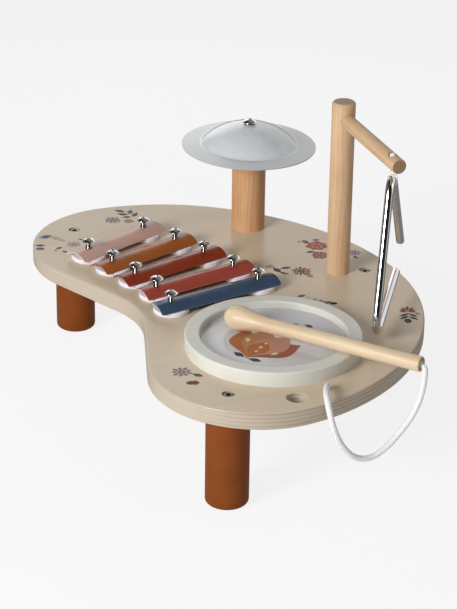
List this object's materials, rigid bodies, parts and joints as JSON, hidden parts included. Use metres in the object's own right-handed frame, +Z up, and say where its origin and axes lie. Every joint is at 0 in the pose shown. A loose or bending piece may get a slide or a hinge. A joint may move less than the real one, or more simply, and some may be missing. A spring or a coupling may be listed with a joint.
{
  "type": "musical activity table",
  "caption": "Kidney-shaped wooden toy table on turned legs, with arched chime bars, a cymbal on a post, a triangle on an arm, a shallow drum and a corded mallet.",
  "frame": {"origin": "centre of the rectangle that the table covers on the floor, at floor level", "axes": "+X towards the drum end, +Y towards the convex back edge, +Z up"},
  "size_m": [0.4439, 0.2776, 0.251],
  "materials": {
    "birch_ply": "clear satin lacquer, layered edge",
    "leg_paint": "terracotta satin paint",
    "beech": "clear satin lacquer",
    "mallet_beech": "turned and lightly lacquered",
    "drum_paint": "pale sage satin paint",
    "hoop_board": "bare board",
    "drum_skin": null,
    "cymbal_steel": "satin, finely spun",
    "chrome": "polished",
    "zinc": "zinc plated",
    "brass": "bare",
    "felt": "pressed felt",
    "dark_rubber": "matt",
    "cord": "fine white braid",
    "bar_pink": "satin paint",
    "bar_ochre": "satin paint",
    "bar_rust": "satin paint",
    "bar_red": "satin paint",
    "bar_navy": "satin paint"
  },
  "bodies": {
    "table": {"tabletop": "birch_ply", "leg_front_left": "leg_paint", "leg_front_right": "leg_paint", "leg_back": "leg_paint", "leg_bolts": "zinc", "leg_inserts": "brass", "tall_post": "beech", "tall_post_screw": "zinc", "triangle_arm": "beech", "cymbal_post": "beech", "cymbal_post_screw": "zinc", "cymbal_felt": "felt", "cymbal_washer": "dark_rubber", "cymbal_screw": "chrome", "drum_ring": "drum_paint", "drumhead": "drum_skin", "drum_hoop": "hoop_board", "drum_screws": "zinc", "bar_pads": "felt", "bar_screws": "chrome", "mallet_cord": "cord", "cord_knot": "cord"},
    "cymbal": {"cymbal": "cymbal_steel"},
    "bar_1": {"bar_1": "bar_pink"},
    "bar_2": {"bar_2": "bar_ochre"},
    "bar_3": {"bar_3": "bar_rust"},
    "bar_4": {"bar_4": "bar_red"},
    "bar_5": {"bar_5": "bar_navy"},
    "mallet": {"mallet": "mallet_beech", "mallet_cord_tail": "cord"},
    "triangle_loop": {"triangle_loop": "cord", "triangle_knot": "cord"},
    "triangle": {"triangle": "chrome"}
  },
  "joints": [
    {"name": "cymbal_spin", "type": "hinge", "parent": "table", "child": "cymbal", "pos_m": [-0.1266, 0.0596, 0.1941], "axis": [0.013, 0.0186, 0.9997], "continuous": true},
    {"name": "bar_1_lift", "type": "slide", "parent": "table", "child": "bar_1", "axis": [0, 0, 1], "range_m": [0, 0.006]},
    {"name": "bar_2_lift", "type": "slide", "parent": "table", "child": "bar_2", "axis": [0, 0, 1], "range_m": [0, 0.006]},
    {"name": "bar_3_lift", "type": "slide", "parent": "table", "child": "bar_3", "axis": [0, 0, 1], "range_m": [0, 0.006]},
    {"name": "bar_4_lift", "type": "slide", "parent": "table", "child": "bar_4", "axis": [0, 0, 1], "range_m": [0, 0.006]},
    {"name": "bar_5_lift", "type": "slide", "parent": "table", "child": "bar_5", "axis": [0, 0, 1], "range_m": [0, 0.006]},
    {"name": "mallet_strike", "type": "hinge", "parent": "table", "child": "mallet", "pos_m": [0.21521, 0.04782, 0.1154], "axis": [-0.5563, 0.831, 0], "range_deg": [0, 40]},
    {"name": "triangle_turn", "type": "hinge", "parent": "table", "child": "triangle_loop", "pos_m": [0.09701, 0.08026, 0.22053], "axis": [0, 0, 1], "range_deg": [-5, 90]},
    {"name": "triangle_swing", "type": "hinge", "parent": "triangle_loop", "child": "triangle", "pos_m": [0.09701, 0.08026, 0.22053], "axis": [0.7949, -0.6067, 0], "range_deg": [-2, 20]}
  ]
}
